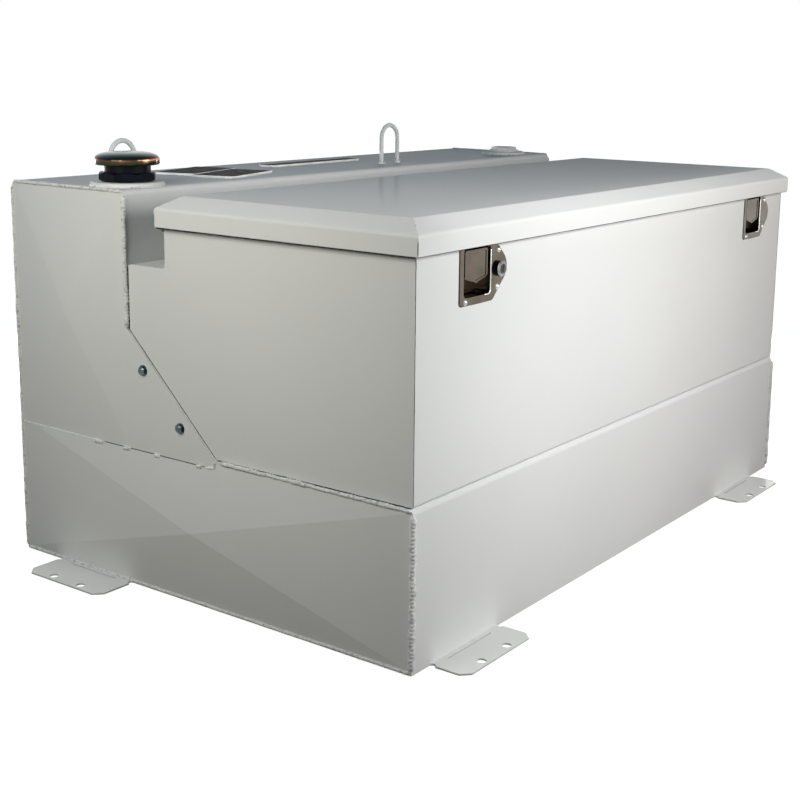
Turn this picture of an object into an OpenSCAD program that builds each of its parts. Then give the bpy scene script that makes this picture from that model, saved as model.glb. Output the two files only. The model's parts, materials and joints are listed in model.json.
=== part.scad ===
/* [Tank] */
// Width of the tank across the truck bed
tank_w = 1219; // [1000:1:1500]
// Depth of the tank from front to back
tank_d = 800; // [700:1:900]
// Height of the tall rear section
tank_h = 615; // [600:1:700]
// Height of the low slab under the toolbox
slab_h = 232; // [180:1:260]
// Depth of the tall rear section
rear_d = 260; // [230:1:300]
// Thickness of the tank sheet
tank_sheet = 2.7; // [2:0.1:4]
// Outer radius of the tank's bends
bend_r = 8; // [6:0.5:12]
// Height of the seam between the end plates
seam_z = 219; // [170:1:225]
// Rise of the diagonal creases in a lower end plate
low_crease_rise = 15; // [4:0.5:20]
// Rise of the diagonal creases in an upper end plate
high_crease_rise = 10; // [4:0.5:15]
// Distance of the creases' ends from a plate's edges
crease_inset = 5; // [4:0.5:15]
// Width of the slab's top sheet that belongs to the rear sheet
wrap_foot_w = 20; // [10:1:40]

/* [Flap] */
// How far the flap reaches forward of the riser
flap_reach = 180; // [120:1:240]
// Height of the flap above the slab at the riser
flap_rise = 176; // [120:1:220]
// How far the flap's slanted edge starts below the slab's top
flap_drop = 2; // [0:0.5:6]

/* [Mounting tabs] */
// Width of a mounting tab
tab_w = 170; // [140:1:200]
// How far a front tab stands out
front_tab_reach = 62; // [50:1:80]
// How far a side tab stands out
side_tab_reach = 73; // [55:1:90]
// Chamfer on the outer corners of a tab
tab_chamfer = 13; // [6:0.5:18]
// Distance between the two holes of a tab
tab_hole_spacing = 63.5; // [50:0.5:80]
// Diameter of a tab hole
tab_hole_d = 14.3; // [10:0.1:16]
// Distance from a tab's outer edge to its holes
tab_hole_edge = 12; // [10:0.5:16]
// Length of the slot along the tab's bend
tab_slot_len = 106; // [80:1:120]
// Width of the slot along the tab's bend
tab_slot_w = 3.2; // [2:0.1:5]
// Distance of the slot from the tank's wall
tab_slot_in = 9; // [6:0.5:12]
// Radius of the relief cuts at the ends of a tab's bend
tab_relief_r = 5; // [3:0.5:8]
// Centre of the left front tab from the left end
front_tab_x_left = 126; // [110:1:200]
// Centre of the right front tab from the right end
front_tab_x_right = 169; // [110:1:220]
// Centre of the side tabs from the back
side_tab_from_back = 173; // [120:1:250]

/* [Baffles] */
// Thickness of a baffle
baffle_t = 2; // [1.5:0.1:3]
// Diameter of a baffle's flow holes
baffle_hole_d = 110; // [60:1:130]
// Radius cut off a baffle's outer corners
baffle_corner_r = 30; // [10:1:50]

/* [Filler] */
// Distance of the filler from the left end
filler_x = 67; // [62:1:90]
// Distance of the filler and bung centres behind the riser
top_fitting_y = 65; // [65:1:100]
// Diameter of the filler flange
filler_flange_d = 112; // [104:1:116]
// Width of the filler flange outside its spigot
filler_rim_w = 20; // [12:1:24]
// Height of the filler flange and the pump bung
flange_h = 6; // [4:0.5:10]
// Depth of their spigots below the tank's top
spigot_h = 12; // [6:1:20]
// Chamfer on the filler flange
flange_chamfer = 2; // [0.5:0.5:3]
// Thickness of the gasket under the neck
gasket_t = 1.5; // [1:0.5:3]
// Width of the neck's octagon across its flats
neck_octagon = 84; // [80:1:92]
// Height of the neck's octagon
neck_octagon_h = 13; // [8:0.5:18]
// Chamfer on the octagon's corners
neck_chamfer = 4; // [1:0.5:5]
// Diameter of the neck above its octagon
neck_d = 72; // [66:1:74]
// Height of the neck above its octagon
neck_h = 11; // [11:0.5:25]
// Bore through the neck's lip
neck_lip_bore = 54; // [44:1:56]
// Thickness of the neck's lip
neck_lip_t = 3.5; // [2.5:0.5:5]
// Depth of the groove under the lip, outside the lip's bore
neck_groove = 3; // [2.5:0.5:5]
// Bore down the neck below its lip
neck_bore = 48; // [40:1:50]
// Diameter of the neck's stub in the flange
neck_stub_d = 59.6; // [56:0.1:60]
// Length of the stub below the flange
neck_stub_h = 10; // [4:1:20]
// Diameter of the cap's dome
dome_d = 100; // [96:1:110]
// Height of the dome's skirt
dome_skirt_h = 8; // [6:0.5:12]
// Height of the dome above its skirt
dome_crown_h = 12; // [8:0.5:20]
// Sheet thickness of the dome
dome_wall = 1.4; // [1:0.1:2]
// Radius of the roll at the skirt's foot
dome_roll_r = 3; // [2:0.5:5]
// Thickness of the cap's gasket
cap_gasket_t = 2.5; // [1.5:0.5:4]
// Thickness of the disc under the dome
cap_disc_t = 4; // [3:0.5:6]
// Diameter of the stem below the disc
cap_stem_d = 26; // [20:1:34]
// Width of the cap's ears
cap_ear_w = 16; // [10:1:18]
// Thickness of the cap's ears
cap_ear_t = 3; // [2:0.5:4]

/* [Pump bung] */
// Distance of the pump bung from the right end
bung_x = 79; // [60:1:120]
// Diameter of the pump bung
bung_d = 90; // [80:1:110]
// Width of the bung outside its spigot
bung_rim_w = 14; // [10:1:18]
// Diameter of the bung's threaded bore
bung_bore = 48; // [40:1:50]
// Diameter of the plug's flange
plug_d = 62; // [50:1:70]
// Thickness of the plug's flange
plug_flange_t = 3; // [2:0.5:5]
// Height of the plug's hexagon
plug_hex_h = 9; // [6:0.5:14]

/* [Lifting eyes] */
// Rod diameter of a lifting eye
eye_rod_d = 8; // [6:0.5:12]
// Distance between an eye's legs
eye_span = 50; // [40:1:70]
// Height of the middle eye
eye_h = 77; // [60:1:100]
// Height of the left eye, which stands by the filler
eye_left_h = 67; // [55:1:100]
// Size of the weld round the foot of a leg
eye_weld = 3; // [2:0.5:5]
// Left eye from the left end
eye_left_x = 121; // [112:1:200]
// Left eye behind the riser
eye_left_y = 136; // [134:1:200]
// Middle eye from the left end
eye_middle_x = 731; // [400:1:900]
// Middle eye behind the riser
eye_middle_y = 65; // [40:1:200]

/* [Toolbox] */
// Sheet thickness of the toolbox and lid
box_sheet = 1.9; // [1.2:0.1:2.5]
// Gap between a toolbox end and the tank's flap
box_side_gap = 0.3; // [0.2:0.1:2]
// Setback of the toolbox front from the tank front
box_front_inset = 2; // [0:0.5:6]
// Gap between the toolbox and the riser
box_rear_gap = 2; // [1:0.5:6]
// Depth of the toolbox's ledge behind its mouth
ledge_d = 80; // [70:1:100]
// Height of the rim above the toolbox ledge
ledge_drop = 85; // [78:1:120]
// Height of the toolbox rim above the slab
rim_rise = 358; // [345:1:362]
// Width of the folded rim
rim_w = 20; // [18:1:30]
// Radius of the toolbox's bends
box_bend_r = 6; // [4:0.5:10]
// Depth of the front panel's folds
box_fold_w = 30; // [25:1:60]
// Diameter of the drain hole in the ledge
drain_d = 6; // [4:0.5:8]
// Drain hole from the toolbox end
drain_from_end = 22; // [15:1:60]
// Drain hole behind the toolbox's mouth
drain_behind_mouth = 26.5; // [20:0.5:60]
// Thickness of the rim seal's foot
seal_base_h = 2.5; // [2:0.5:4]
// Width of the rim seal's foot
seal_base_w = 12; // [10:0.5:14]
// Setback of the rim seal from the toolbox wall
seal_inset = 7; // [4:0.5:8]
// Radius of the rim seal's corners
seal_corner_r = 16; // [12:1:30]
// Diameter of the toolbox bolts
bolt_d = 8; // [6:1:10]
// Width of a bolt's head and of a nut across the corners
bolt_head_d = 14.5; // [12:0.5:18]
// Height of a bolt's head
bolt_head_h = 5.5; // [4:0.5:8]
// Diameter of the flange on a bolt's head and a nut
bolt_flange_d = 17; // [15:0.5:20]
// Thickness of the flange on a bolt's head and a nut
bolt_flange_t = 1.3; // [1:0.1:2]
// Height of a nut
nut_h = 8; // [6:0.5:10]
// How far a bolt reaches past its nut
bolt_past_nut = 4; // [1:0.5:6]
// Lower bolt behind the flap's tip
bolt_low_y = 70; // [50:1:90]
// Step from the lower bolt to the upper one, back and up
bolt_step = 77; // [50:1:90]
// Distance of the bolts from the flap's slanted edge
bolt_edge = 21; // [14:1:30]

/* [Lid] */
// Overhang of the lid beyond the toolbox walls
lid_overhang = 10; // [8:0.5:14]
// Height of the lid above the toolbox rim
lid_over_rim = 22; // [20:0.5:30]
// Height of the lid's bevel
lid_bevel_h = 18; // [12:0.5:22]
// Width of the lid's bevel
lid_bevel_w = 30; // [20:1:40]
// Height of the lid's flange below its bevel
lid_flange_h = 27; // [20:1:32]
// Gap left at the mitred corners of the flange
lid_corner_gap = 1.4; // [0.6:0.1:3]
// Outer radius of the lid's bend below its bevel
lid_knee_r = 7; // [4:0.5:12]
// Outer radius of the lid's bend above its bevel
lid_crease_r = 5; // [3:0.5:12]
// Height of the channel under the lid
hat_h = 11; // [8:0.5:14]
// Width of the channel between its feet
hat_w = 60; // [40:1:90]
// Width of a foot of the channel
hat_foot_w = 15; // [10:1:20]
// Sheet thickness of the channel
hat_t = 1.5; // [1:0.1:2]
// Distance of the channel from the toolbox ends
hat_from_end = 60; // [30:1:120]

/* [Hinge] */
// Number of knuckles, odd
knuckles = 15; // [9:2:21]
// Radius of the hinge barrel
barrel_r = 3.9; // [3.5:0.1:4]
// Diameter of the hinge pin
hinge_pin_d = 3.2; // [2.5:0.1:4]
// Thickness of the hinge leaves
leaf_t = 1.5; // [1:0.1:1.8]
// Height of the hinge leaves above the barrel
leaf_h = 22; // [15:1:24]
// Radial clearance of a turning fit
fit_clear = 0.05; // [0.02:0.01:0.1]
// Gap between two knuckles
knuckle_gap = 0.5; // [0.2:0.1:1]

/* [Latches] */
// Centre of a latch's recess from the toolbox end
latch_from_end = 137; // [100:1:250]
// Centre of the latches below the rim
latch_below_rim = 58; // [56:1:80]
// Width of the latch plate without its lobe
latch_w = 82; // [76:1:90]
// Height of the latch plate
latch_h = 88; // [80:1:100]
// How far the lobe reaches from the recess centre
lobe_reach = 73; // [66:1:80]
// Radius of the lobe's end
lobe_r = 22; // [16:1:30]
// Sheet thickness of the latch plate and pan
latch_sheet = 1.5; // [1:0.1:2]
// Radius of the latch plate's corners
latch_corner_r = 5; // [3:0.5:8]
// Width of the recess
recess_w = 64; // [58:1:68]
// Height of the recess
recess_h = 68; // [62:1:72]
// Depth of the recess
recess_d = 24; // [18:1:28]
// Radius of the recess's upright corners
recess_r = 6; // [4:0.5:10]
// Radius of the fold round the recess's back
recess_fold_r = 3; // [1:0.5:5]
// Diameter of a rivet's shank
rivet_d = 4.4; // [3:0.2:5]
// Diameter of a rivet's head
rivet_head_d = 8.8; // [7:0.2:9]
// Height of a rivet's head
rivet_head_h = 2.4; // [1.5:0.1:3]
// Diameter of a rivet's closed end
rivet_tail_d = 6.4; // [5:0.2:6.8]
// Rivets above and below the recess centre
rivet_z = 39.6; // [38.5:0.1:42]
// Width of the paddle
paddle_w = 54; // [48:1:58]
// Sheet thickness of the paddle
paddle_t = 1.6; // [1.2:0.1:2.5]
// Width of the raised border on the paddle
paddle_border_w = 3; // [2:0.5:5]
// Height of the raised border on the paddle
paddle_border_h = 0.9; // [0.5:0.1:1.2]
// Radius of the paddle's cheeks round their pin
cheek_r = 4.5; // [4:0.5:6]
// Width of the arm behind the paddle
arm_w = 8; // [6:0.5:9]
// Diameter of the paddle pin
paddle_pin_d = 5; // [4:0.5:6]
// Diameter of the hook pin
hook_pin_d = 6; // [5:0.5:8]
// Thickness of the hook
hook_t = 10; // [6:0.5:12]
// Radius of the hook round its pin
hook_hub_r = 7.5; // [6:0.5:8]
// Thickness of the latch bracket's ears
bracket_t = 2.5; // [2:0.5:4]
// Gap between the hook and a bracket's ear
bracket_gap = 1; // [0.5:0.5:2]
// Diameter of the striker rod
striker_d = 6; // [5:0.5:8]
// Gap between the hook and a striker's leg
striker_gap = 4; // [2:0.5:6]
// Thickness of the striker's foot
striker_foot_t = 2.5; // [2:0.5:4]
// Diameter of the lock barrel
lock_d = 22; // [18:0.5:24]
// Wall of the lock barrel round its plug
lock_wall = 4; // [2.5:0.5:5]
// Chamfer round the lock's face
lock_chamfer = 2; // [1:0.5:3]
// Width of the key slot
key_slot_w = 1.8; // [1.2:0.1:2.5]
// Height of the key slot
key_slot_h = 9; // [6:0.5:12]
// Length of the lock from the plate to its cam
lock_len = 24; // [20:1:30]
// Thickness of the cam
cam_t = 3; // [2:0.5:4]
// Width of the cam
cam_w = 12; // [9:0.5:14]
// Reach of the cam from the lock's axis
cam_reach = 26; // [20:1:32]
// How far the lock stands out of the plate
lock_proud = 7; // [4:0.5:10]
// Lock centre from the recess centre
lock_offset = 53; // [46:1:56]

/* [Hidden] */
$fn = 48;

steel_white = [0.86, 0.87, 0.85];
stainless = [0.52, 0.49, 0.44];
zinc = [0.66, 0.67, 0.66];
black = [0.06, 0.07, 0.08];

// Places in the tank's own corner frame: x from the left end, y from the front, z up
y_front = -(tank_d - front_tab_reach) / 2;
riser_y = tank_d - rear_d;
flap_y = riser_y - flap_reach;
wrap_seam_y = riser_y - wrap_foot_w;
inner_r = 4;
seat = 0.2;
over = 1;
bolt_hole_clear = 0.6;
grip = tank_sheet + box_side_gap + box_sheet;

filler_y = riser_y + top_fitting_y;
neck_z = tank_h + flange_h;
neck_base_z = neck_z + gasket_t;
neck_top_z = neck_base_z + neck_octagon_h + neck_h;
dome_z = neck_top_z + 0.3;
dome_under_z = dome_z + dome_skirt_h + dome_crown_h - dome_wall;

box_x0 = tank_sheet + box_side_gap;
box_w = tank_w - 2 * box_x0;
box_y0 = box_front_inset;
box_y1 = riser_y - box_rear_gap;
mouth_y1 = box_y1 - ledge_d;
box_split_y = box_y0 + box_fold_w;
box_mouth_d = mouth_y1 - box_y0;
rim_z = slab_h + rim_rise;
ledge_z = rim_z - ledge_drop;

lid_x0 = box_x0 - lid_overhang;
lid_w = box_w + 2 * lid_overhang;
lid_y0 = box_y0 - lid_overhang;
lid_d = box_mouth_d + 2 * lid_overhang;
lid_top_z = rim_z + lid_over_rim;
lid_knee_z = lid_top_z - lid_bevel_h;
lid_low_z = lid_knee_z - lid_flange_h;
lid_under_z = lid_top_z - box_sheet;
bevel_a = atan2(lid_bevel_h, lid_bevel_w);

hinge_y = mouth_y1 + barrel_r + 0.15;
hinge_z = lid_low_z - barrel_r;

latch_xs = [box_x0 + latch_from_end, box_x0 + box_w - latch_from_end];
latch_z = rim_z - latch_below_rim;
plate_y = box_y0 - latch_sheet;
pan_back_y = plate_y + recess_d + latch_sheet;
paddle_y = plate_y + 2.5;
paddle_axis = [box_y0 + 6, latch_z + recess_h / 2 - 8];
hook_axis = [pan_back_y + 18, paddle_axis[1] - 11];
hook_top = 19.5;
striker_y = hook_axis[0] + 7;
striker_z = hook_axis[1] + 12;
lock_x = latch_xs[0] + lock_offset;
lock_z = latch_z - 2;
lock_r = lock_d / 2;
lock_hole_r = lock_r - 1.7;

// The seal's bulb: 0.3 mm under the lid's bevel at the bulb's centre
bulb_y = lid_overhang + seal_inset + seal_base_w / 2;
bulb_foot_z = rim_z + seal_base_h - 0.5;
bevel_under_z = lid_knee_z + bulb_y * tan(bevel_a) - box_sheet / cos(bevel_a);
bulb_r = ((bevel_under_z - bulb_foot_z) * cos(bevel_a) - 0.3) / (1 + cos(bevel_a));

// Points of a round stretch about c, from angle a0 to a1
function arc(c, r, a0, a1, n = 6) =
    [for (i = [0:n]) let (a = a0 + (a1 - a0) * i / n) c + r * [cos(a), sin(a)]];

// Corners of the tank's section, moved inwards by k, as (y, z)
function tank_section(k, low) = concat(
    [[k, low]],
    arc([bend_r, slab_h - bend_r], bend_r - k, 180, 90),
    arc([riser_y - inner_r, slab_h + inner_r], inner_r + k, 270, 360),
    arc([riser_y + bend_r, tank_h - bend_r], bend_r - k, 180, 90),
    arc([tank_d - bend_r, tank_h - bend_r], bend_r - k, 90, 0),
    [[tank_d - k, low]]
);

// Corners of the toolbox's section, moved inwards by k, as (y, z)
function box_section(k) = concat(
    arc([box_y0 + box_bend_r, slab_h + box_bend_r], box_bend_r - k, 270, 180),
    [[box_y0 + k, rim_z - k], [mouth_y1 - k, rim_z - k]],
    arc([mouth_y1 + box_bend_r, ledge_z + box_bend_r], box_bend_r + k, 180, 270),
    arc([box_y1 - box_bend_r, ledge_z - box_bend_r], box_bend_r - k, 90, 0),
    arc([box_y1 - box_bend_r, slab_h + box_bend_r], box_bend_r - k, 0, -90)
);

module place() {
    translate([-tank_w / 2, y_front, 0]) children();
}

// Sweeps a (y, z) outline along x
module along_x(x, w) {
    translate([x, 0, 0]) rotate([90, 0, 90]) linear_extrude(w) children();
}

module rod_x(x, y, z, r, len) {
    translate([x, y, z]) rotate([0, 90, 0]) cylinder(r = r, h = len);
}

module rod_y(x, y, z, r, len) {
    translate([x, y, z]) rotate([-90, 0, 0]) cylinder(r = r, h = len);
}

// A mounting tab: reaches along -y from y = 0, centred on x = 0
module tab(reach) {
    slot_half = (tab_slot_len - tab_slot_w) / 2;
    difference() {
        linear_extrude(tank_sheet) polygon([
            [-tab_w / 2, tank_sheet], [-tab_w / 2, tab_chamfer - reach],
            [tab_chamfer - tab_w / 2, -reach], [tab_w / 2 - tab_chamfer, -reach],
            [tab_w / 2, tab_chamfer - reach], [tab_w / 2, tank_sheet]
        ]);
        translate([0, 0, -over]) for (side = [-1, 1]) {
            translate([side * tab_w / 2, -tab_relief_r, 0])
                cylinder(r = tab_relief_r, h = tank_sheet + 2 * over);
            translate([side * tab_hole_spacing / 2, tab_hole_edge - reach, 0])
                cylinder(d = tab_hole_d, h = tank_sheet + 2 * over);
            translate([side * slot_half, -tab_slot_in, 0])
                cylinder(d = tab_slot_w, h = tank_sheet + 2 * over);
        }
        translate([0, -tab_slot_in, tank_sheet / 2])
            cube([2 * slot_half, tab_slot_w, tank_sheet + 2 * over], center = true);
    }
}

// The tank's folded sheet between y0 and y1, swept along x
module tank_sheet_form(y0, y1) {
    along_x(tank_sheet, tank_w - 2 * tank_sheet) intersection() {
        difference() {
            polygon(tank_section(0, 0));
            polygon(tank_section(tank_sheet, -over));
        }
        translate([y0, -over]) square([y1 - y0, tank_h + 2 * over]);
    }
}

module tank_front() {
    color(steel_white) place() {
        tank_sheet_form(-over, wrap_seam_y);
        translate([front_tab_x_left, 0, 0]) tab(front_tab_reach);
        translate([tank_w - front_tab_x_right, 0, 0]) tab(front_tab_reach);
    }
}

module tank_rear() {
    color(steel_white) place() difference() {
        tank_sheet_form(wrap_seam_y, tank_d + over);
        translate([filler_x, filler_y, tank_h - bend_r])
            cylinder(d = filler_flange_d - 2 * filler_rim_w, h = 2 * bend_r);
        translate([tank_w - bung_x, filler_y, tank_h - bend_r])
            cylinder(d = bung_d - 2 * bung_rim_w, h = 2 * bend_r);
    }
}

module bottom_plate() {
    color(steel_white) place()
        translate([tank_sheet, tank_sheet, 0])
            cube([tank_w - 2 * tank_sheet, tank_d - 2 * tank_sheet, tank_sheet]);
}

// Everything beyond x, with a four-sided rise towards -x over the rectangle from a to b, as (y, z)
module roof(x, a, b, rise) {
    mid = (a + b) / 2;
    grow = (b - a) / 2 / rise * over;
    intersection() {
        translate([x, 0, a[1] - grow[1]]) linear_extrude(b[1] - a[1] + 2 * grow[1])
            polygon([[over, a[0] - grow[0]], [-rise, mid[0]], [over, b[0] + grow[0]]]);
        along_y(a[0] - grow[0], b[0] - a[0] + 2 * grow[0]) translate([x, 0])
            polygon([[over, a[1] - grow[1]], [-rise, mid[1]], [over, b[1] + grow[1]]]);
    }
}

// An end plate with the outline of its children, creased from corner to corner of a to b
module creased_plate(a, b, rise) {
    inset = [crease_inset, crease_inset];
    difference() {
        intersection() {
            along_x(-rise - over, rise + over + tank_sheet) children();
            union() {
                translate([0, -over, -over]) cube([tank_sheet + over, tank_d + 2 * over, tank_h + 2 * over]);
                roof(0, a + inset, b - inset, rise);
            }
        }
        roof(tank_sheet, a + inset, b - inset, rise);
    }
}

module end_lower(side) {
    color(steel_white) place() translate([side * tank_w, 0, 0]) mirror([side, 0, 0]) {
        creased_plate([0, 0], [tank_d, slab_h], low_crease_rise) polygon(concat(
            [[0, 0]],
            arc([bend_r, slab_h - bend_r], bend_r, 180, 90),
            [[flap_y, slab_h], [flap_y, seam_z], [tank_d, seam_z], [tank_d, 0]]
        ));
        translate([0, tank_d - side_tab_from_back, 0]) rotate([0, 0, -90]) tab(side_tab_reach);
    }
}

module end_upper(side) {
    color(steel_white) place() difference() {
        translate([side * tank_w, 0, 0]) mirror([side, 0, 0])
            creased_plate([riser_y, seam_z], [tank_d, tank_h], high_crease_rise) polygon(concat(
                [[flap_y, seam_z], [flap_y, slab_h - flap_drop],
                 [riser_y, slab_h - flap_drop + flap_rise]],
                arc([riser_y + bend_r, tank_h - bend_r], bend_r, 180, 90),
                arc([tank_d - bend_r, tank_h - bend_r], bend_r, 90, 0),
                [[tank_d, seam_z]]
            ));
        bolt_holes();
    }
}

// Places children at the two bolts, as (y, z)
module at_bolts() {
    low_z = slab_h - flap_drop + (bolt_low_y - bolt_edge * sqrt(2)) * flap_rise / flap_reach;
    for (i = [0, 1]) translate([0, flap_y + bolt_low_y + i * bolt_step, low_z + i * bolt_step])
        children();
}

module bolt_holes() {
    at_bolts() translate([-over, 0, 0]) rotate([0, 90, 0])
        cylinder(d = bolt_d + bolt_hole_clear, h = tank_w + 2 * over);
}

module baffle(x) {
    color(steel_white) place() difference() {
        along_x(x - baffle_t / 2, baffle_t) difference() {
            polygon(tank_section(tank_sheet + seat, tank_sheet + seat));
            for (y = [riser_y * 0.2, riser_y * 0.5, riser_y * 0.8]) {
                translate([y, slab_h / 2]) circle(d = baffle_hole_d);
            }
            for (z = [slab_h / 2, (slab_h + tank_h) / 2]) {
                translate([riser_y + rear_d / 2, z]) circle(d = baffle_hole_d);
            }
            for (c = [[0, 0], [tank_d, 0], [0, slab_h], [riser_y, tank_h], [tank_d, tank_h]]) {
                translate(c) circle(r = baffle_corner_r);
            }
        }
    }
}

module filler_flange() {
    r = filler_flange_d / 2;
    spigot_r = r - filler_rim_w - seat;
    bore = neck_stub_d / 2 + seat;
    color(steel_white) place() translate([filler_x, filler_y, tank_h]) rotate_extrude($fn = 96)
        polygon([[bore, -spigot_h], [spigot_r, -spigot_h], [spigot_r, 0], [r, 0],
                 [r, flange_h - flange_chamfer], [r - flange_chamfer, flange_h], [bore, flange_h]]);
}

module neck_gasket() {
    inner = neck_stub_d / 2 + fit_clear;
    color(black) place() translate([filler_x, filler_y, neck_z]) rotate_extrude($fn = 72)
        translate([inner, 0]) square([neck_d / 2 + 3 - inner, gasket_t]);
}

// The neck's wall: octagon, waist, lip with two slots for the cap's ears, stub into the flange
module filler_neck() {
    groove_d = neck_lip_bore + 2 * neck_groove;
    corner_r = neck_octagon / 2 / cos(22.5);
    high = neck_octagon_h;
    low = (neck_chamfer + over) * 0.7;
    color(black) place() translate([filler_x, filler_y, neck_base_z]) difference() {
        union() {
            intersection() {
                rotate([0, 0, 22.5]) cylinder(r = corner_r, h = high, $fn = 8);
                rotate_extrude($fn = 96) polygon([
                    [0, 0], [corner_r - neck_chamfer, 0], [corner_r + over, low],
                    [corner_r + over, high - low], [corner_r - neck_chamfer, high], [0, high]
                ]);
            }
            translate([0, 0, -gasket_t - flange_h - neck_stub_h])
                cylinder(d = neck_stub_d, h = gasket_t + flange_h + neck_stub_h + over);
            cylinder(d = neck_d, h = high + neck_h);
        }
        translate([0, 0, -gasket_t - flange_h - neck_stub_h - over])
            cylinder(d = neck_bore, h = high + neck_h + 3 * neck_stub_h);
        translate([0, 0, high - 6]) cylinder(d = groove_d, h = neck_h + 6 - neck_lip_t);
        translate([0, 0, high]) cylinder(d = neck_lip_bore, h = neck_h + over);
        translate([0, 0, high + neck_h - neck_lip_t - over]) intersection() {
            cylinder(d = groove_d - 2 * seat, h = neck_h);
            cube([2 * groove_d, cap_ear_w + 2, 4 * neck_h], center = true);
        }
    }
}

module cap_gasket() {
    inner = neck_lip_bore / 2 - over;
    color(black) place() translate([filler_x, filler_y, neck_top_z]) rotate_extrude($fn = 72)
        translate([inner, 0]) square([neck_d / 2 - inner, cap_gasket_t]);
}

// Disc under the dome with a boss above it, a stem below and two ears that turn under the neck's lip
module cap_core() {
    disc_z = neck_top_z + cap_gasket_t + 0.3;
    ear_z = neck_top_z - neck_lip_t - 0.4 - cap_ear_t;
    color(black) place() translate([filler_x, filler_y, 0]) {
        translate([0, 0, disc_z]) cylinder(d = neck_d + 8, h = cap_disc_t);
        translate([0, 0, disc_z]) cylinder(d = cap_stem_d - 2, h = dome_under_z - seat - disc_z);
        translate([0, 0, ear_z]) cylinder(d = cap_stem_d, h = disc_z - ear_z + over);
        intersection() {
            translate([0, 0, ear_z]) cylinder(d = neck_lip_bore + 1.6 * neck_groove, h = cap_ear_t);
            translate([0, 0, ear_z]) cube([neck_d, cap_ear_w, 3 * cap_ear_t], center = true);
        }
    }
}

// A pressed dome: its skirt rolls inwards at the foot
module cap_dome() {
    r = dome_d / 2;
    roll = dome_roll_r;
    high = dome_skirt_h;
    function crown(r, rise) = [for (i = [0:12]) let (a = 90 * i / 12)
        [r * pow(cos(a), 0.55), high + rise * sin(a)]];
    function turned(points) = [for (i = [1:len(points)]) points[len(points) - i]];
    outer = concat(arc([r - roll, roll], roll, 270, 360), crown(r, dome_crown_h));
    inner = concat(arc([r - roll, roll], roll - dome_wall, 270, 360),
                   crown(r - dome_wall, dome_crown_h - dome_wall));
    color([0.62, 0.52, 0.25]) place() translate([filler_x, filler_y, dome_z]) rotate_extrude($fn = 96)
        polygon(concat(outer, turned(inner)));
}

module pump_bung() {
    r = bung_d / 2;
    bore = bung_bore / 2;
    spigot_r = r - bung_rim_w - seat;
    color(steel_white) place() translate([tank_w - bung_x, filler_y, tank_h]) rotate_extrude($fn = 72)
        polygon([[bore, -spigot_h], [spigot_r, -spigot_h], [spigot_r, 0], [r, 0],
                 [r, flange_h - flange_chamfer], [r - 2 * flange_chamfer, flange_h], [bore, flange_h]]);
}

module pump_plug() {
    stub_h = flange_h + spigot_h - 4;
    color(steel_white) place() translate([tank_w - bung_x, filler_y, tank_h + flange_h]) {
        cylinder(d = plug_d, h = plug_flange_t);
        cylinder(d = plug_d - 8, h = plug_hex_h, $fn = 6);
        translate([0, 0, -stub_h]) cylinder(d = bung_bore - 2 * seat, h = stub_h + over);
    }
}

// A bent rod eye standing on the top, its plane along x
module lifting_eye(x, y, high) {
    r = eye_rod_d / 2;
    bend = eye_span / 2;
    color(steel_white) place() translate([x, riser_y + y, tank_h]) {
        for (side = [-1, 1]) translate([side * bend, 0, 0]) {
            cylinder(r = r, h = high - bend - r);
            cylinder(r1 = r + eye_weld, r2 = r, h = eye_weld + 1);
        }
        translate([0, 0, high - bend - r]) rotate([90, 0, 0])
            rotate_extrude(angle = 180) translate([bend, 0]) circle(r = r);
    }
}

// The toolbox's folded sheet between y0 and y1, swept along x
module box_sheet_form(y0, y1) {
    along_x(box_x0 + box_sheet, box_w - 2 * box_sheet) intersection() {
        difference() {
            polygon(box_section(0));
            polygon(box_section(box_sheet));
            translate([box_y0 + rim_w, rim_z - rim_w / 2]) square([box_mouth_d - 2 * rim_w, rim_w]);
        }
        translate([y0, 0]) square([y1 - y0, tank_h]);
    }
}

module box_front() {
    cut = 2 * latch_sheet + 1;
    color(steel_white) place() difference() {
        box_sheet_form(-over, box_split_y);
        for (x = latch_xs) {
            translate([x, box_y0, latch_z])
                cube([recess_w + cut, 3 * box_sheet, recess_h + cut], center = true);
            at_rivets() rod_y(x, box_y0 - over, latch_z, rivet_d / 2 + 0.1, 4 * box_sheet);
        }
        rod_y(lock_x, box_y0 - over, lock_z, lock_hole_r, 4 * box_sheet);
    }
}

module box_shell() {
    color(steel_white) place() difference() {
        box_sheet_form(box_split_y, box_y1 + over);
        for (x = [box_x0 + drain_from_end, box_x0 + box_w - drain_from_end])
            translate([x, mouth_y1 + drain_behind_mouth, ledge_z - 2 * box_sheet])
                cylinder(d = drain_d, h = 4 * box_sheet);
    }
}

module box_end(x) {
    color(steel_white) place() difference() {
        union() {
            along_x(x, box_sheet) polygon(box_section(0));
            translate([x < tank_w / 2 ? x : x + box_sheet - rim_w, box_y0 + rim_w, rim_z - box_sheet])
                cube([rim_w, box_mouth_d - 2 * rim_w, box_sheet]);
        }
        bolt_holes();
    }
}

// Flanged bolts with domed hexagon heads through the flaps and toolbox ends
module box_bolts() {
    color(zinc) place() for (side = [0, 1]) translate([side * tank_w, 0, 0]) mirror([side, 0, 0])
        at_bolts() {
            rod_x(-bolt_flange_t, 0, 0, bolt_flange_d / 2, bolt_flange_t);
            rod_x(-bolt_flange_t, 0, 0, bolt_d / 2, bolt_flange_t + grip + nut_h + bolt_past_nut);
            intersection() {
                translate([-bolt_flange_t - bolt_head_h, 0, 0]) rotate([0, 90, 0])
                    cylinder(d = bolt_head_d, h = bolt_head_h, $fn = 6);
                translate([bolt_head_h - bolt_flange_t - 2, 0, 0]) sphere(r = 1.45 * bolt_head_h + 1.6);
            }
        }
}

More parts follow.
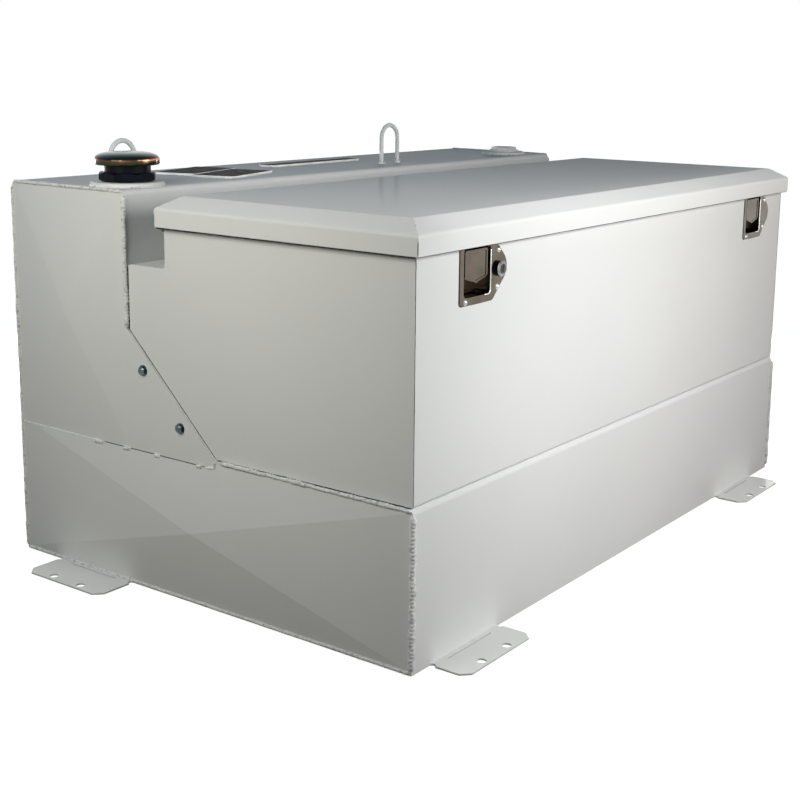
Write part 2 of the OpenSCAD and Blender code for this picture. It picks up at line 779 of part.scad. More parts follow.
module box_nuts() {
    color(zinc) place() for (side = [0, 1]) translate([side * tank_w, 0, 0]) mirror([side, 0, 0])
        at_bolts() translate([grip, 0, 0]) rotate([0, 90, 0]) difference() {
            union() {
                cylinder(d = bolt_flange_d, h = bolt_flange_t);
                cylinder(d = bolt_head_d, h = nut_h, $fn = 6);
            }
            translate([0, 0, -over]) cylinder(d = bolt_d + 2 * fit_clear, h = nut_h + 2 * over);
        }
}

// Bulb seal round the rim, with round corners
module rim_seal() {
    mid = seal_inset + seal_base_w / 2;
    w = box_w - 2 * mid;
    d = box_mouth_d - 2 * mid;
    r = seal_corner_r;
    module section() {
        translate([-seal_base_w / 2, 0]) square([seal_base_w, seal_base_h]);
        translate([0, seal_base_h - 0.5 + bulb_r]) circle(r = bulb_r);
    }
    module side(len) {
        translate([r, 0, 0]) rotate([90, 0, 90]) linear_extrude(len - 2 * r) section();
        translate([r, r, 0]) rotate([0, 0, 180]) rotate_extrude(angle = 90)
            translate([r, 0]) section();
    }
    color(black) place() translate([box_x0 + mid, box_y0 + mid, rim_z]) {
        side(w);
        translate([w, 0, 0]) rotate([0, 0, 90]) side(d);
        translate([w, d, 0]) rotate([0, 0, 180]) side(w);
        translate([0, d, 0]) rotate([0, 0, 270]) side(d);
    }
}

// One edge of the lid's section moved inwards by k, from its foot to its flat top, as (across, z)
function lid_edge(k, foot) = let (
    knee = [lid_knee_r, lid_knee_z - lid_knee_r * (1 - sin(bevel_a)) / cos(bevel_a)],
    crease = [lid_bevel_w + lid_crease_r * (1 - cos(bevel_a)) / sin(bevel_a), lid_top_z - lid_crease_r]
) concat([[k, foot]], arc(knee, lid_knee_r - k, 180, 90 + bevel_a),
         arc(crease, lid_crease_r - k, 90 + bevel_a, 90, 3));

// The lid's whole section across a width w, moved inwards by k
module lid_section(w, k, foot) {
    edge = lid_edge(k, foot);
    polygon(concat(edge, [for (i = [1:len(edge)]) [w - edge[len(edge) - i][0], edge[len(edge) - i][1]]]));
}

// The lid's solid form moved inwards by k: two crossed sweeps that mitre its corners
module lid_form(k, foot) {
    intersection() {
        along_x(lid_x0, lid_w) translate([lid_y0, 0]) lid_section(lid_d, k, foot);
        along_y(lid_y0, lid_d) translate([lid_x0, 0]) lid_section(lid_w, k, foot);
    }
}

module lid_skin() {
    slit = [3 * lid_overhang, lid_corner_gap, lid_flange_h - lid_knee_r];
    color(steel_white) place() difference() {
        lid_form(0, lid_low_z);
        lid_form(box_sheet, lid_low_z - over);
        for (x = [lid_x0, lid_x0 + lid_w], y = [lid_y0, lid_y0 + lid_d])
            translate([x, y, lid_low_z + slit[2] / 2 - over])
                rotate([0, 0, (x == lid_x0) == (y == lid_y0) ? 45 : -45])
                    cube(slit, center = true);
    }
}

// Hat channel under the lid
module lid_stiffener() {
    t = hat_t;
    slant = 5;
    mid = lid_y0 + lid_d / 2;
    half = hat_w / 2;
    top = lid_under_z;
    color(steel_white) place() along_x(box_x0 + hat_from_end, box_w - 2 * hat_from_end) polygon([
        [mid - half - hat_foot_w, top], [mid - half - hat_foot_w, top - t], [mid - half, top - t],
        [mid - half + slant, top - hat_h], [mid + half - slant, top - hat_h], [mid + half, top - t],
        [mid + half + hat_foot_w, top - t], [mid + half + hat_foot_w, top], [mid + half - t, top],
        [mid + half - slant - t, top - hat_h + t], [mid - half + slant + t, top - hat_h + t],
        [mid - half + t, top]
    ]);
}

// One leaf of the piano hinge, with every second knuckle from first
module hinge_leaf(first, y0) {
    pitch = box_w / knuckles;
    half_gap = knuckle_gap / 2;
    difference() {
        union() {
            for (i = [first:2:knuckles - 1]) translate([box_x0 + i * pitch + half_gap, 0, 0]) {
                rod_x(0, hinge_y, hinge_z, barrel_r, pitch - knuckle_gap);
                translate([0, y0, hinge_z]) cube([pitch - knuckle_gap, leaf_t, barrel_r + 2]);
            }
            translate([box_x0 + half_gap, y0, hinge_z + barrel_r + 0.4])
                cube([box_w - knuckle_gap, leaf_t, leaf_h]);
        }
        rod_x(box_x0 - over, hinge_y, hinge_z, hinge_pin_d / 2 + fit_clear, box_w + 2 * over);
    }
}

module hinge_leaf_box() {
    color(zinc) place() hinge_leaf(0, mouth_y1);
}

module hinge_leaf_lid() {
    color(zinc) place() hinge_leaf(1, lid_y0 + lid_d - box_sheet - leaf_t);
}

module hinge_pin() {
    color(zinc) place() rod_x(box_x0 - over, hinge_y, hinge_z, hinge_pin_d / 2, box_w + 2 * over);
}

// A rectangle with round corners, centred
module round_rect(w, h, r) {
    polygon(concat(
        arc([w / 2 - r, h / 2 - r], r, 0, 90), arc([r - w / 2, h / 2 - r], r, 90, 180),
        arc([r - w / 2, r - h / 2], r, 180, 270), arc([w / 2 - r, r - h / 2], r, 270, 360)
    ));
}

// Sweeps an (x, z) outline along y, from y0
module along_y(y0, len) {
    translate([0, y0 + len, 0]) rotate([90, 0, 0]) linear_extrude(len) children();
}

// Places children at the rivets of a latch, as (x, z) from the recess centre
module at_rivets() {
    left = rivet_head_d / 2 - latch_w / 2 + 9;
    for (p = [[left, -rivet_z], [left, rivet_z], [lobe_reach - 21, 24], [lobe_reach - 23, -27]])
        translate([p[0], 0, p[1]]) children();
}

// Plate outline with the lobe on its right
module latch_outline() {
    r = latch_corner_r;
    w = latch_w / 2 - r;
    h = latch_h / 2 - r;
    polygon(concat(
        arc([w, h], r, 45, 90), arc([-w, h], r, 90, 180), arc([-w, -h], r, 180, 270),
        arc([w, -h], r, 270, 315), arc([lobe_reach - lobe_r, 0], lobe_r, -42, 42, 12)
    ));
}

// A pressed tray of width w and height h, folded round its back by radius fold
module tray(w, h, r, y0, y1, fold) {
    intersection() {
        along_y(y0, y1 - y0) round_rect(w, h, r);
        along_x(-w / 2 - over, w + 2 * over) polygon(concat(
            [[y0, -h / 2], [y0, h / 2]], arc([y1 - fold, h / 2 - fold], fold, 90, 0),
            arc([y1 - fold, fold - h / 2], fold, 0, -90)
        ));
    }
}

module latch_pan(x, lock) {
    color(stainless) place() translate([x, 0, latch_z]) difference() {
        union() {
            along_y(plate_y, latch_sheet) latch_outline();
            tray(recess_w + 2 * latch_sheet, recess_h + 2 * latch_sheet, recess_r + latch_sheet,
                 plate_y, pan_back_y, recess_fold_r + latch_sheet);
        }
        tray(recess_w, recess_h, recess_r, plate_y - over, pan_back_y - latch_sheet, recess_fold_r);
        translate([-arm_w / 2 - 1, pan_back_y - recess_fold_r - 2, 3])
            cube([arm_w + 2, 3 * recess_fold_r, recess_h / 2 - 5]);
        at_rivets() rod_y(0, plate_y - over, 0, rivet_d / 2 + 0.1, 4 * latch_sheet);
        if (lock) rod_y(lock_offset, plate_y - over, lock_z - latch_z, lock_hole_r, 4 * latch_sheet);
    }
}

module latch_pan_left() {
    latch_pan(latch_xs[0], true);
}

module latch_pan_right() {
    latch_pan(latch_xs[1], false);
}

// Round-headed rivets through the latch plates and the toolbox front
module latch_rivets() {
    head_r = rivet_head_d / 2;
    ball_r = (head_r * head_r + rivet_head_h * rivet_head_h) / (2 * rivet_head_h);
    color(zinc) place() for (x = latch_xs) translate([x, 0, latch_z]) at_rivets() {
        translate([0, plate_y, 0]) rotate([90, 0, 0]) intersection() {
            translate([0, 0, rivet_head_h - ball_r]) sphere(r = ball_r);
            cylinder(r = head_r + over, h = rivet_head_h + over);
        }
        rod_y(0, plate_y, 0, rivet_d / 2, latch_sheet + box_sheet);
        rod_y(0, box_y0 + box_sheet, 0, rivet_tail_d / 2, rivet_d / 2);
    }
}

// A paddle with a raised border and a blunt V foot, cheeks round the pin and an arm to the rear
module paddle(x) {
    top = paddle_axis[1] + 3.5 - latch_z;
    low = -7;
    tip = -16;
    half = paddle_w / 2;
    b = paddle_border_w;
    module face(in) {
        polygon(concat(
            arc([half - 4, top - 4], 4 - in, 0, 90), arc([4 - half, top - 4], 4 - in, 90, 180),
            [[in - half, low], [5 - half + in / 2, low - 3 + in / 2]],
            arc([0, tip + 8], 8 - in, 235, 305),
            [[half - 5 - in / 2, low - 3 + in / 2], [half - in, low]]
        ));
    }
    color(stainless) place() translate([x, 0, 0]) difference() {
        union() {
            translate([0, 0, latch_z]) along_y(paddle_y, paddle_t) face(0);
            translate([0, 0, latch_z]) along_y(paddle_y - paddle_border_h, paddle_border_h + 0.1)
                difference() {
                    face(0);
                    face(b);
                }
            for (side = [-1, 1]) along_x(side * (half - paddle_t / 2) - paddle_t / 2, paddle_t)
                translate(paddle_axis) {
                    circle(r = cheek_r);
                    translate([paddle_y - paddle_axis[0] + 0.5, -cheek_r - 12])
                        square([5.5, cheek_r + 12]);
                }
            along_x(-arm_w / 2, arm_w) translate([0, paddle_axis[1]]) polygon([
                [paddle_y + 0.5, -12], [paddle_axis[0] + 6, -7], [paddle_axis[0] + 24, -7],
                [paddle_axis[0] + 24, -1], [paddle_axis[0] + 6, -3.2], [paddle_y + 0.5, -3.2]
            ]);
        }
        rod_x(-half - over, paddle_axis[0], paddle_axis[1], paddle_pin_d / 2 + fit_clear,
              paddle_w + 2 * over);
    }
}

module paddle_pins() {
    color(zinc) place() for (x = latch_xs)
        rod_x(x - recess_w / 2 + seat, paddle_axis[0], paddle_axis[1], paddle_pin_d / 2, recess_w - 2 * seat);
}

// Two ears behind the pan that hold the hook's pin
module latch_bracket(x) {
    inner = hook_t / 2 + bracket_gap;
    reach = hook_axis[0] - pan_back_y + 6;
    base_t = 2;
    color(zinc) place() translate([x, pan_back_y, hook_axis[1]]) difference() {
        union() {
            for (side = [-1, 1]) translate([side * (inner + bracket_t / 2) - bracket_t / 2, 0, 0]) {
                translate([0, 0, -12]) cube([bracket_t, reach, 19]);
                translate([0, 0, -32]) cube([bracket_t, base_t, 30]);
            }
            translate([-inner - bracket_t, 0, -32]) cube([2 * (inner + bracket_t), base_t, 16]);
        }
        rod_x(-2 * inner, hook_axis[0] - pan_back_y, 0, hook_pin_d / 2 + fit_clear, 4 * inner);
    }
}

module hook_pins() {
    half = hook_t / 2 + bracket_gap + bracket_t;
    color(zinc) place() for (x = latch_xs)
        rod_x(x - half, hook_axis[0], hook_axis[1], hook_pin_d / 2, 2 * half);
}

// A hook over the striker, with a tail under the paddle's arm
module hook(x) {
    color(zinc) place() translate([x - hook_t / 2, 0, 0]) difference() {
        union() {
            rod_x(0, hook_axis[0], hook_axis[1], hook_hub_r, hook_t);
            along_x(0, hook_t) translate(hook_axis) polygon([
                [-16, -3], [-16, 3], [-4, 3], [-4, hook_top], [10, hook_top],
                [12, hook_top - 2], [12, 15.4], [2.5, 15.4], [2.5, -4], [-4, -6]
            ]);
        }
        rod_x(-over, hook_axis[0], hook_axis[1], hook_pin_d / 2 + fit_clear, hook_t + 2 * over);
    }
}

// A bent rod striker on a foot under the lid
module striker(x) {
    r = striker_d / 2;
    half = hook_t / 2 + striker_gap + r;
    foot_z = lid_under_z - striker_foot_t;
    color(zinc) place() translate([x, striker_y, 0]) {
        for (side = [-1, 1]) translate([side * half, 0, striker_z]) {
            cylinder(r = r, h = foot_z + 0.5 - striker_z);
            sphere(r = r);
        }
        rod_x(-half, 0, striker_z, r, 2 * half);
        translate([-half - 8, -9, foot_z]) cube([2 * half + 16, 18, striker_foot_t]);
    }
}

module lock_barrel() {
    front = plate_y - lock_proud;
    bore = lock_r - lock_wall;
    color(black) place() translate([lock_x, front, lock_z]) rotate([-90, 0, 0]) rotate_extrude($fn = 72)
        polygon([
            [bore, 0], [lock_r - lock_chamfer, 0], [lock_r, lock_chamfer], [lock_r, lock_proud],
            [lock_r - 2, lock_proud], [lock_r - 2, lock_proud + lock_len - 2.5],
            [bore, lock_proud + lock_len - 2.5]
        ]);
}

module lock_plug() {
    front = plate_y - lock_proud;
    color(zinc) place() difference() {
        union() {
            rod_y(lock_x, front, lock_z, lock_r - lock_wall - fit_clear, lock_proud + lock_len);
            rod_y(lock_x, plate_y + lock_len, lock_z, cam_t, 2 * cam_t);
        }
        translate([lock_x - key_slot_w / 2, front - over, lock_z - key_slot_h / 2])
            cube([key_slot_w, 12, key_slot_h]);
    }
}

module lock_cam() {
    y = plate_y + lock_len;
    color(zinc) place() difference() {
        union() {
            rod_y(lock_x, y, lock_z, cam_w / 2 + 2, cam_t);
            translate([lock_x - cam_w / 2, y, lock_z]) cube([cam_w, cam_t, cam_reach]);
        }
        rod_y(lock_x, y - over, lock_z, cam_t, cam_t + 2 * over);
    }
}

tank_front();
tank_rear();
bottom_plate();
end_lower(0);  // end_lower_left
end_lower(1);  // end_lower_right
end_upper(0);  // end_upper_left
end_upper(1);  // end_upper_right
baffle(tank_w / 3);  // baffle_left
baffle(tank_w * 2 / 3);  // baffle_right
filler_flange();
neck_gasket();
filler_neck();
cap_gasket();
cap_core();
cap_dome();
pump_bung();
pump_plug();
lifting_eye(eye_left_x, eye_left_y, eye_left_h);  // lifting_eye_left
lifting_eye(eye_middle_x, eye_middle_y, eye_h);  // lifting_eye_middle
box_front();
box_shell();
box_end(box_x0);  // box_end_left
box_end(box_x0 + box_w - box_sheet);  // box_end_right
box_bolts();
box_nuts();
rim_seal();
lid_skin();
lid_stiffener();
hinge_leaf_box();
hinge_leaf_lid();
hinge_pin();
latch_pan_left();
latch_pan_right();
latch_rivets();
paddle(latch_xs[0]);  // paddle_left
paddle(latch_xs[1]);  // paddle_right
paddle_pins();
latch_bracket(latch_xs[0]);  // latch_bracket_left
latch_bracket(latch_xs[1]);  // latch_bracket_right
hook(latch_xs[0]);  // hook_left
hook(latch_xs[1]);  // hook_right
hook_pins();
striker(latch_xs[0]);  // striker_left
striker(latch_xs[1]);  // striker_right
lock_barrel();
lock_plug();
lock_cam();
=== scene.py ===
import json
import math

import bmesh
import bpy
from mathutils import Matrix, Vector, noise


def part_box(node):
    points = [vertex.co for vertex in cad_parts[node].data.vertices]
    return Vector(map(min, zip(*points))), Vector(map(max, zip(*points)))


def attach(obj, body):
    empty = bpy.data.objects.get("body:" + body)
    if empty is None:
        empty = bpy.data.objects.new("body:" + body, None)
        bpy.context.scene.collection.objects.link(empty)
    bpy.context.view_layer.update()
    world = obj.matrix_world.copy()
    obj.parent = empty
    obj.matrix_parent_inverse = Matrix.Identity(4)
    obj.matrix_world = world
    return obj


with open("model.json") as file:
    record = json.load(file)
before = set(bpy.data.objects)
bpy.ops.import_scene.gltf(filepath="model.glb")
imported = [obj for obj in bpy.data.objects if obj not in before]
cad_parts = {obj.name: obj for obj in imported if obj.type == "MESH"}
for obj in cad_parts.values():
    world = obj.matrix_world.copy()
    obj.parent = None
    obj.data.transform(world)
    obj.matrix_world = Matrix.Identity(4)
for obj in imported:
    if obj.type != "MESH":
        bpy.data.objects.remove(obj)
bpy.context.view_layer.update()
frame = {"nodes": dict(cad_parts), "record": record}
nodes = frame["nodes"]
scene = bpy.context.scene

# The photograph's camera, in metres and in the part's frame
IMAGE_SIZE = 800
FOCAL_PX = 1346.9
PRINCIPAL_PX = (427.2, 327.2)
SENSOR_MM = 36
CAMERA_AT = (-1.9615, -1.363, 0.804)
CAMERA_RIGHT = (0.58716, -0.80936, 0.01316)
CAMERA_DOWN = (-0.14747, -0.12293, -0.9814)
CAMERA_FORWARD = (0.79593, 0.5743, -0.19153)


def add_camera():
    data = bpy.data.cameras.new("camera")
    data.sensor_width = SENSOR_MM
    data.lens = FOCAL_PX * SENSOR_MM / IMAGE_SIZE
    data.shift_x = (IMAGE_SIZE / 2 - PRINCIPAL_PX[0]) / IMAGE_SIZE
    data.shift_y = (PRINCIPAL_PX[1] - IMAGE_SIZE / 2) / IMAGE_SIZE
    data.clip_end = 100
    camera = bpy.data.objects.new("camera", data)
    right = Vector(CAMERA_RIGHT)
    up = -Vector(CAMERA_DOWN)
    back = -Vector(CAMERA_FORWARD)
    turn = Matrix((right, up, back)).transposed()
    camera.matrix_world = Matrix.Translation(CAMERA_AT) @ turn.to_4x4()
    scene.collection.objects.link(camera)
    scene.camera = camera


add_camera()


class Nodes:
    """Short calls that build one material's node tree."""

    def __init__(self, name):
        self.material = bpy.data.materials.new(name)
        self.material.use_nodes = True
        self.tree = self.material.node_tree
        self.tree.nodes.clear()
        self.output = self.tree.nodes.new("ShaderNodeOutputMaterial")

    def add(self, kind, **values):
        node = self.tree.nodes.new(kind)
        for key, value in values.items():
            if hasattr(node, key):
                setattr(node, key, value)
            else:
                node.inputs[key.replace("_", " ")].default_value = value
        return node

    def link(self, source, target):
        self.tree.links.new(source, target)

    def coords(self, scale=(1, 1, 1)):
        place = self.add("ShaderNodeTexCoord")
        mapping = self.add("ShaderNodeMapping")
        mapping.inputs["Scale"].default_value = scale
        self.link(place.outputs["Object"], mapping.inputs["Vector"])
        return mapping.outputs["Vector"]

    def noise(self, scale, detail=2.0, stretch=(1, 1, 1), rough=0.5):
        node = self.add("ShaderNodeTexNoise", Scale=scale, Detail=detail, Roughness=rough)
        self.link(self.coords(stretch), node.inputs["Vector"])
        return node.outputs["Fac"]

    def ramp(self, factor, stops, smooth=False):
        node = self.add("ShaderNodeValToRGB")
        if smooth:
            node.color_ramp.interpolation = "EASE"
        elements = node.color_ramp.elements
        while len(elements) < len(stops):
            elements.new(0.5)
        for element, (place, color) in zip(elements, stops):
            element.position = place
            element.color = color if len(color) == 4 else (*color, 1)
        self.link(factor, node.inputs["Fac"])
        return node.outputs["Color"]

    def mix(self, factor, first, second, blend="MIX"):
        node = self.add("ShaderNodeMix", data_type="RGBA", blend_type=blend)
        for socket, value in ((node.inputs[0], factor), (node.inputs[6], first), (node.inputs[7], second)):
            if isinstance(value, bpy.types.NodeSocket):
                self.link(value, socket)
            else:
                socket.default_value = value if isinstance(value, float) else (*value, 1)
        return node.outputs[2]

    def math(self, operation, first, second=0.0, clamp=False):
        node = self.add("ShaderNodeMath", operation=operation, use_clamp=clamp)
        for socket, value in ((node.inputs[0], first), (node.inputs[1], second)):
            if isinstance(value, bpy.types.NodeSocket):
                self.link(value, socket)
            else:
                socket.default_value = value
        return node.outputs[0]

    def bump(self, height, strength, distance, normal=None):
        node = self.add("ShaderNodeBump", Strength=strength, Distance=distance)
        self.link(height, node.inputs["Height"])
        if normal:
            self.link(normal, node.inputs["Normal"])
        return node.outputs["Normal"]

    def surface(self, color, roughness, normal=None, **values):
        shader = self.add("ShaderNodeBsdfPrincipled")
        for key, value in values.items():
            shader.inputs[key.replace("_", " ")].default_value = value
        for socket, value in (("Base Color", color), ("Roughness", roughness)):
            if isinstance(value, bpy.types.NodeSocket):
                self.link(value, shader.inputs[socket])
            else:
                shader.inputs[socket].default_value = value if isinstance(value, float) else (*value, 1)
        if normal:
            self.link(normal, shader.inputs["Normal"])
        self.link(shader.outputs["BSDF"], self.output.inputs["Surface"])
        return self.material


def grey(value):
    return (value, value, value)


def powder_coat():
    """White gloss powder coat: faint clouding, orange peel and slightly wavy sheet."""
    n = Nodes("powder_coat")
    cloud = n.noise(2.4, 4.0)
    color = n.ramp(cloud, [(0.3, (0.775, 0.780, 0.760)), (0.7, (0.815, 0.815, 0.800))])
    dust = n.ramp(n.noise(160, 3.0), [(0.70, grey(0)), (0.80, grey(0.35))])
    color = n.mix(dust, color, (0.70, 0.68, 0.63))
    wave = n.bump(n.noise(3.2, 1.0), 0.35, 0.004)
    peel = n.bump(n.noise(330, 2.0), 0.16, 0.0005, wave)
    rough = n.ramp(n.noise(14, 3.0), [(0.3, grey(0.30)), (0.7, grey(0.42))])
    return n.surface(color, rough, peel, Specular_IOR_Level=0.0, Coat_Weight=0.14, Coat_Roughness=0.12)


def weld_paint():
    """The same paint over rough weld metal, with darker random spots as painted shade in the pits."""
    n = Nodes("weld_paint")
    pit_shade = n.noise(210, 3.0)
    # The darkest stop is painted shade in the weld's pits.
    color = n.ramp(pit_shade, [(0.33, (0.42, 0.41, 0.39)), (0.43, (0.70, 0.70, 0.68)), (0.70, (0.82, 0.82, 0.80))])
    normal = n.bump(n.noise(420, 3.0), 0.25, 0.0006)
    return n.surface(color, 0.30, normal, Specular_IOR_Level=0.1, Coat_Weight=0.35, Coat_Roughness=0.12)


def plate_dark():
    """Bare dark face of a top plate, slightly cloudy."""
    n = Nodes("plate_dark")
    color = n.ramp(n.noise(22, 4.0), [(0.3, (0.020, 0.018, 0.019)), (0.7, (0.042, 0.038, 0.038))])
    rough = n.ramp(n.noise(60, 3.0), [(0.3, grey(0.5)), (0.7, grey(0.7))])
    return n.surface(color, rough, n.bump(n.noise(400, 2.0), 0.1, 0.0003), Specular_IOR_Level=0.02)


def steel(name, dark, light, roughness, stretch=(0.06, 1, 1)):
    """Plated or polished steel with fine scratches and a cloudy polish."""
    n = Nodes(name)
    color = n.ramp(n.noise(35, 4.0), [(0.3, dark), (0.7, light)])
    normal = n.bump(n.noise(900, 2.0, stretch), 0.12, 0.0002)
    rough = n.ramp(n.noise(60, 3.0), [(0.3, grey(roughness * 0.75)), (0.7, grey(roughness * 1.3))])
    return n.surface(color, rough, normal, Metallic=1.0)


def iridescent_zinc():
    """Yellow zinc with its iridescent tints, kept very dark as a painted reflection of dark surroundings:
    olive foot, a patchy pink and gold band, black, then deep green.
    """
    n = Nodes("iridescent_zinc")
    place = n.add("ShaderNodeTexCoord")
    split = n.add("ShaderNodeSeparateXYZ")
    n.link(place.outputs["Object"], split.inputs["Vector"])
    low, high = (corner[2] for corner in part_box("cap_dome"))
    height = n.math("DIVIDE", n.math("SUBTRACT", split.outputs["Z"], low), high - low)
    wobble = n.math("MULTIPLY", n.math("SUBTRACT", n.noise(26, 2.0), 0.5), 0.16)
    height = n.math("ADD", height, wobble, True)
    # Very dark stops: painted reflection of dark surroundings, over the zinc's own tints.
    tints_and_dark_reflection = n.ramp(height, [
        (0.0, (0.030, 0.032, 0.014)), (0.30, (0.050, 0.045, 0.020)), (0.40, (0.10, 0.06, 0.035)),
        (0.52, (0.006, 0.008, 0.010)), (0.68, (0.008, 0.016, 0.018)), (0.85, (0.012, 0.050, 0.045)),
        (1.0, (0.022, 0.050, 0.036))])
    band = n.ramp(height, [
        (0.22, (0.05, 0.04, 0.02)), (0.33, (0.42, 0.17, 0.12)), (0.41, (0.75, 0.45, 0.22)),
        (0.47, (0.50, 0.14, 0.16)), (0.56, (0.006, 0.008, 0.010))])
    inside = n.ramp(height, [(0.20, grey(0)), (0.32, grey(1)), (0.48, grey(1)), (0.56, grey(0))])
    patch = n.ramp(n.noise(30, 1.0), [(0.47, grey(0)), (0.60, grey(1))])
    color = n.mix(n.math("MULTIPLY", inside, patch), tints_and_dark_reflection, band)
    rough = n.ramp(n.noise(70, 3.0), [(0.3, grey(0.08)), (0.7, grey(0.16))])
    return n.surface(color, rough, n.bump(n.noise(60, 2.0), 0.08, 0.001), Metallic=1.0)


def black_gloss():
    """Black plated casting, satin."""
    n = Nodes("black_gloss")
    color = n.ramp(n.noise(40, 3.0), [(0.35, (0.0015, 0.0028, 0.006)), (0.7, (0.004, 0.007, 0.013))])
    rough = n.ramp(n.noise(90, 3.0), [(0.3, grey(0.24)), (0.7, grey(0.36))])
    return n.surface(color, rough, n.bump(n.noise(300, 2.0), 0.1, 0.0004), Specular_IOR_Level=0.07)


def lock_steel():
    """Barrel whose sides are plated but coloured near black as a painted reflection of dark surroundings; its
    front face is bright, worn plating.
    """
    n = Nodes("lock_steel")
    place = n.add("ShaderNodeTexCoord")
    split = n.add("ShaderNodeSeparateXYZ")
    n.link(place.outputs["Object"], split.inputs["Vector"])
    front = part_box("lock_barrel")[0][1]
    face = n.math("LESS_THAN", split.outputs["Y"], front + 0.0022)
    bright = n.ramp(n.noise(120, 3.0), [(0.3, (0.12, 0.12, 0.115)), (0.7, (0.42, 0.42, 0.40))])
    # Painted reflection: the near-black side colour stands for dark surroundings reflected in the plating.
    dark = n.ramp(n.noise(90, 3.0), [(0.3, (0.006, 0.008, 0.014)), (0.7, (0.02, 0.025, 0.035))])
    color = n.mix(face, dark, bright)
    rough = n.ramp(n.noise(150, 2.0), [(0.3, grey(0.16)), (0.7, grey(0.28))])
    return n.surface(color, rough, n.bump(n.noise(700, 2.0), 0.1, 0.0003), Metallic=1.0)


def rubber():
    n = Nodes("rubber")
    color = n.ramp(n.noise(60, 3.0), [(0.3, grey(0.010)), (0.7, grey(0.026))])
    rough = n.ramp(n.noise(200, 2.0), [(0.3, grey(0.6)), (0.7, grey(0.8))])
    return n.surface(color, rough, n.bump(n.noise(500, 3.0), 0.2, 0.0004), Specular_IOR_Level=0.25)


MATERIALS = {
    "white_paint": powder_coat(),
    # Stainless is coloured dark warm brown as a painted reflection of dark, warm surroundings.
    "stainless": steel("stainless", (0.125, 0.104, 0.078), (0.190, 0.160, 0.124), 0.13),
    "zinc_steel": steel("zinc_steel", (0.40, 0.41, 0.41), (0.60, 0.60, 0.58), 0.28),
    "yellow_zinc": iridescent_zinc(),
    "black_steel": black_gloss(),
    "black_rubber": rubber(),
}
DULL_ZINC = steel("dull_zinc", (0.075, 0.075, 0.07), (0.13, 0.13, 0.12), 0.3)
SPECIAL = {
    "hinge_leaf_box": DULL_ZINC,
    "hinge_leaf_lid": DULL_ZINC,
    "hinge_pin": DULL_ZINC,
    # The plug is coloured near black so that its keyway reads dark: painted shade.
    "lock_plug": steel("lock_plug", (0.035, 0.035, 0.035), (0.12, 0.12, 0.115), 0.18, (1, 1, 1)),
    # The bolt heads' zinc is coloured dark as a painted reflection of dark surroundings.
    "box_bolts": steel("bolt_zinc_dark_reflection", (0.045, 0.065, 0.075), (0.12, 0.15, 0.16), 0.2, (1, 1, 1)),
    # The rivet steel is kept darker than bare steel as a painted reflection of dark surroundings.
    "latch_rivets": steel("rivet_steel_dark_reflection", (0.30, 0.29, 0.27), (0.46, 0.45, 0.43), 0.14, (1, 1, 1)),
    "lock_barrel": lock_steel(),
}
WELD_PAINT = weld_paint()
PLATE_DARK = plate_dark()
PLATE_EDGE = steel("plate_edge", (0.74, 0.74, 0.70), (0.88, 0.88, 0.85), 0.45, (1, 1, 1))
# A near-white steel used only for the painted highlight along the latch recesses.
RECESS_HIGHLIGHT_STEEL = steel("recess_highlight_steel", (0.70, 0.69, 0.66), (0.92, 0.91, 0.88), 0.22, (1, 1, 1))


def dress_nodes():
    for part in frame["record"]["subparts"]:
        name = part["node"]
        mesh = nodes[name].data
        mesh.materials.clear()
        mesh.materials.append(SPECIAL.get(name, MATERIALS[part["material_slot"]]))


dress_nodes()

# The tank's own sizes, in its corner frame: x from the left end, y from the front, z up, in mm
TANK_W, TANK_D, TANK_H = 1219, 800, 615
SLAB_H, RISER_Y, SEAM_Z = 232, 540, 219
FLAP_Y, FLAP_TOP_Z, LEDGE_Z = 360, 406, 505
BEND_R = 8
LID_X, LID_Y = (-7, 1226), (-8, 468)
LID_LOW_Z, LID_KNEE_Z, LID_TOP_Z = 567, 594, 612
FILLER_AT, FILLER_R = (67, 605), 56
BUNG_AT, BUNG_R = (1140, 605), 45
EYE_FEET = [(96, 676), (146, 676), (706, 605), (756, 605)]
LATCH_XS, LATCH_Z, BOX_Y = (140, 1079), 532, 2
RECESS_W, RECESS_H, RECESS_R = 64, 68, 6
PLATE_T = 3.2
INSIDE = 0.1


def at(x, y, z):
    return Vector(((x - TANK_W / 2) / 1000, (y - 369) / 1000, z / 1000))


def make_piece(name, verts, faces, materials, body, smooth=True):
    mesh = bpy.data.meshes.new(name)
    mesh.from_pydata([tuple(v) for v in verts], [], faces)
    mesh.validate()
    for material in materials:
        mesh.materials.append(material)
    mesh.polygons.foreach_set("use_smooth", [smooth] * len(mesh.polygons))
    mesh.update()
    piece = bpy.data.objects.new(name, mesh)
    scene.collection.objects.link(piece)
    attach(piece, body)
    return piece


def walk(path, step):
    """Points a step apart along a path, with the distance walked at each."""
    points = []
    travelled = 0.0
    for start, end in zip(path, path[1:]):
        length = (end - start).length
        count = max(1, round(length / step))
        for i in range(count):
            points.append((start.lerp(end, i / count), travelled + length * i / count))
        travelled += length
    points.append((path[-1], travelled))
    return points


def wobble(distance, seed):
    return noise.noise(Vector((distance, seed * 7.31, 0.5)))


